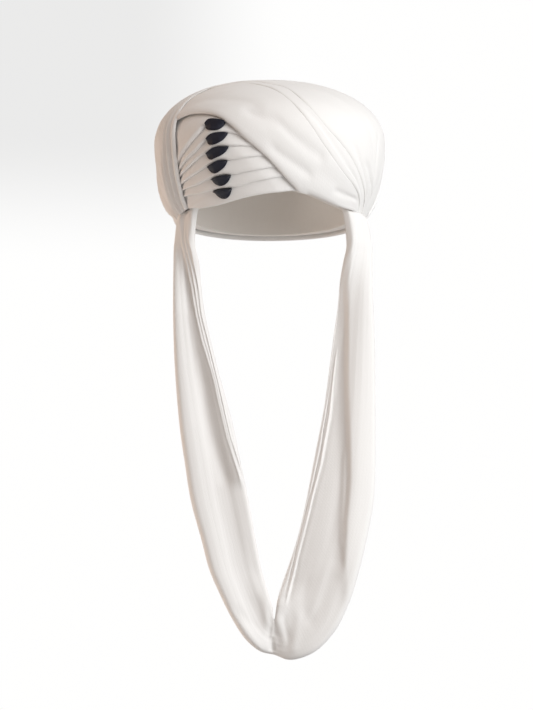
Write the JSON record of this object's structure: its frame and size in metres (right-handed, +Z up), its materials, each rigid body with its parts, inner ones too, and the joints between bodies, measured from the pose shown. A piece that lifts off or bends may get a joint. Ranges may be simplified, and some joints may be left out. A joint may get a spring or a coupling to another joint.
{
  "type": "tied turban with a hanging scarf loop",
  "caption": "Ready-tied ivory turban: domed wound crown, fan of pleats over the brow with dark petal buttons, and a long scarf loop hanging from both temples.",
  "frame": {"origin": "middle of the head opening, level with its lowest point at the sides, where the turban sits on a head", "axes": "+Z up, -Y to the front (the brow), +X to the wearer's left, which is the right of the picture"},
  "size_m": [0.2312, 0.2613, 0.5701],
  "materials": {
    "crown_cloth": "plain ivory weave, matte, lining and wound core",
    "pleat_cloth": "plain ivory weave, matte, pressed into pleats",
    "band_cloth": "plain ivory weave, matte with a soft sheen",
    "wrap_cloth": "plain ivory weave, matte with a soft sheen",
    "scarf_cloth": "plain ivory weave, matte, with long soft folds",
    "button_cloth": "near-black textured cloth, slight sheen"
  },
  "bodies": {
    "root": {"crown": "crown_cloth", "cross_band": "band_cloth", "second_band": "band_cloth", "right_wrap": "wrap_cloth", "left_wrap": "wrap_cloth", "back_wrap": "wrap_cloth", "tail_loop": "scarf_cloth", "pleat_1": "pleat_cloth", "pleat_2": "pleat_cloth", "pleat_3": "pleat_cloth", "pleat_4": "pleat_cloth", "pleat_5": "pleat_cloth", "pleat_6": "pleat_cloth", "pleat_7": "pleat_cloth", "button_1": "button_cloth", "button_2": "button_cloth", "button_3": "button_cloth", "button_4": "button_cloth", "button_5": "button_cloth", "button_6": "button_cloth"}
  },
  "joints": []
}
